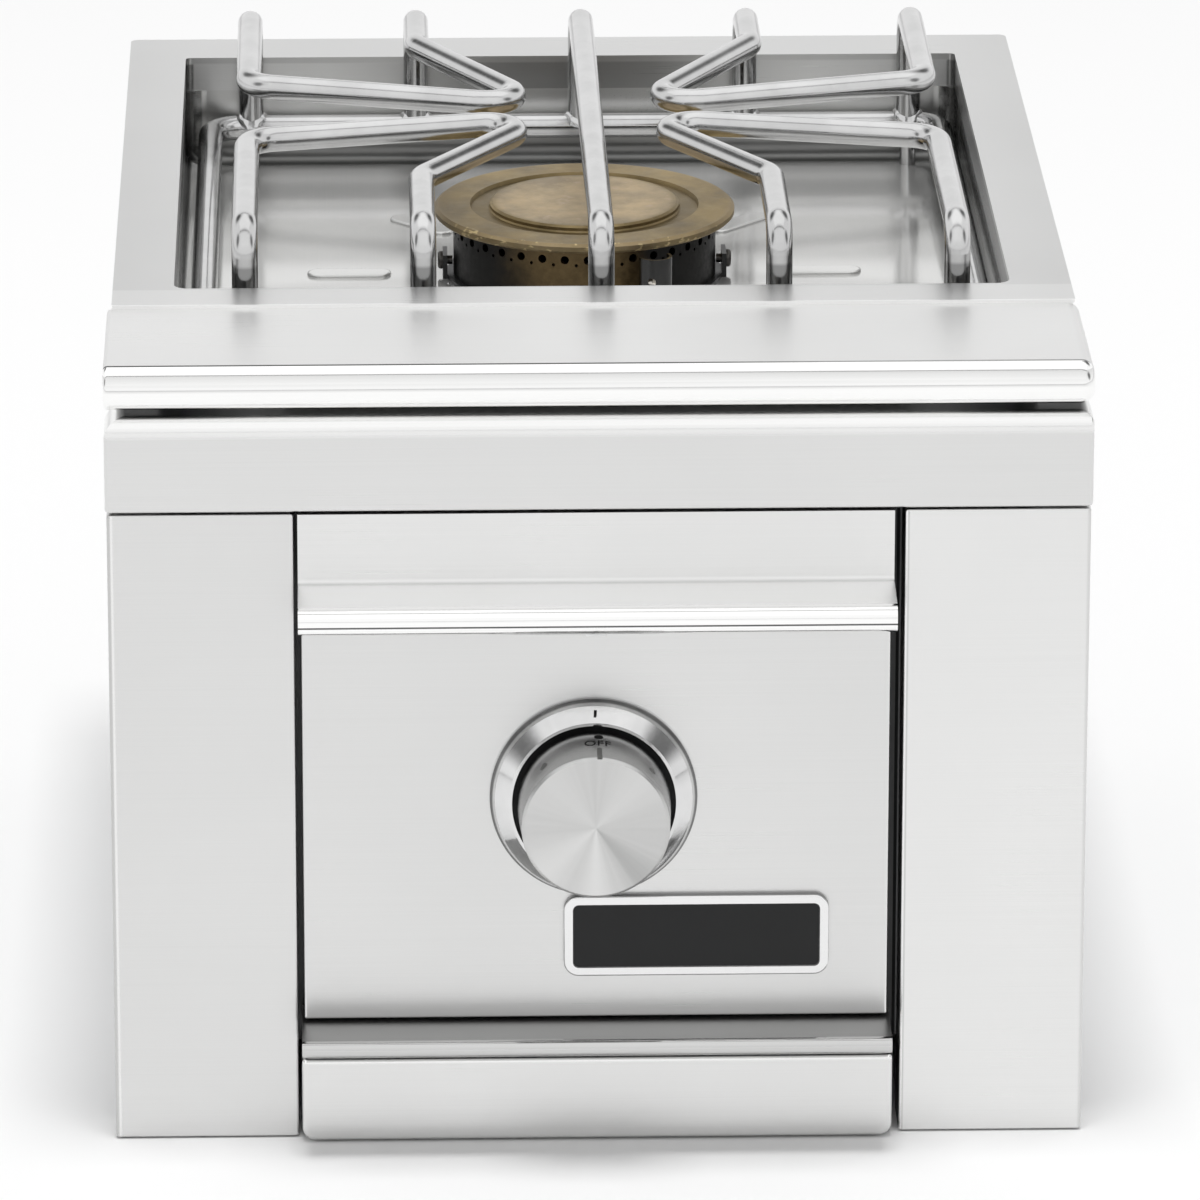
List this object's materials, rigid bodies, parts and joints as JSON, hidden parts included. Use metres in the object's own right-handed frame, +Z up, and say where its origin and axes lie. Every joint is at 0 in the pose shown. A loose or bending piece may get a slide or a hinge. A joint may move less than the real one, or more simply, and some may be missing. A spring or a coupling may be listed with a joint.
{
  "type": "built-in side burner",
  "caption": "Drop-in gas side burner with bent-rod grate over a ported brass burner in a deep tray, push-and-turn knob, visor and slide-out drip tray in a steel front.",
  "frame": {"origin": "middle of the base of the bounding box, at the bottom edge of the front panels", "axes": "+X to the user's right, +Y into the counter, +Z up; the knob faces -Y"},
  "size_m": [0.33, 0.4504, 0.297],
  "materials": {
    "brushed_sheet": "fine horizontal brushing",
    "polished_steel": "polished",
    "housing_sheet": "plain rolled sheet",
    "tray_steel": "satin, pressed",
    "grate_rod": "polished round rod",
    "burner_brass": "machined, slightly dull",
    "cap_bronze": "dark satin bronze",
    "holder_black": "black enamel",
    "valve_brass": "turned",
    "pipe_steel": "zinc plated",
    "knob_metal": "spun face, satin sides",
    "bezel_chrome": "mirror",
    "insert_black": "matte",
    "ceramic": "glazed white ceramic",
    "module_black": "moulded",
    "lens": "frosted",
    "screw": "plain"
  },
  "bodies": {
    "housing": {"deck_frame": "brushed_sheet", "front_rail": "brushed_sheet", "fascia": "brushed_sheet", "side_panel_left": "brushed_sheet", "side_panel_right": "brushed_sheet", "visor": "brushed_sheet", "control_panel": "brushed_sheet", "drip_tray_runner_left": "housing_sheet", "drip_tray_runner_right": "housing_sheet", "housing_wall_left": "housing_sheet", "housing_wall_right": "housing_sheet", "housing_wall_back": "housing_sheet", "inner_front_wall": "housing_sheet", "floor_pan": "housing_sheet", "burner_tray": "tray_steel", "holder_ring": "holder_black", "burner_body": "burner_brass", "burner_head": "burner_brass", "mixing_tube": "pipe_steel", "air_shutter": "pipe_steel", "orifice": "valve_brass", "valve_body": "valve_brass", "manifold": "pipe_steel", "manifold_bracket": "housing_sheet", "inlet_fitting": "valve_brass", "bezel": "bezel_chrome", "bezel_insert": "insert_black", "igniter_collector": "polished_steel", "igniter_electrode": "ceramic", "spark_module": "module_black", "lamp_lens": "lens", "housing_screws": "screw", "valve_screws": "screw", "holder_screws": "screw"},
    "drip_tray": {"drip_tray_handle": "brushed_sheet", "drip_tray_cover": "brushed_sheet", "drip_tray_box": "tray_steel"},
    "grate": {"grate_loop": "grate_rod", "grate_finger_front_left": "grate_rod", "grate_finger_front_right": "grate_rod", "grate_finger_rear_left": "grate_rod", "grate_finger_rear_right": "grate_rod", "grate_centre_rod": "grate_rod"},
    "burner_cap": {"burner_cap": "cap_bronze"},
    "valve_push": {"stem_collar": "valve_brass"},
    "knob": {"knob": "knob_metal", "valve_stem": "valve_brass"}
  },
  "joints": [
    {"name": "drip_tray_slide", "type": "slide", "parent": "housing", "child": "drip_tray", "axis": [0, -1, 0], "range_m": [0, 0.25]},
    {"name": "grate_lift", "type": "slide", "parent": "housing", "child": "grate", "axis": [0, 0, 1], "range_m": [0, 0.06]},
    {"name": "cap_lift", "type": "slide", "parent": "housing", "child": "burner_cap", "axis": [0, 0, 1], "range_m": [0, 0.02]},
    {"name": "knob_push", "type": "slide", "parent": "housing", "child": "valve_push", "axis": [0, 1, 0], "range_m": [0, 0.003], "stiffness_N_per_m": 2500, "springref_m": -0.002},
    {"name": "knob_turn", "type": "hinge", "parent": "valve_push", "child": "knob", "pos_m": [-0.002, -0.19335, 0.1224], "axis": [0, -1, 0], "range_deg": [0, 270]}
  ]
}
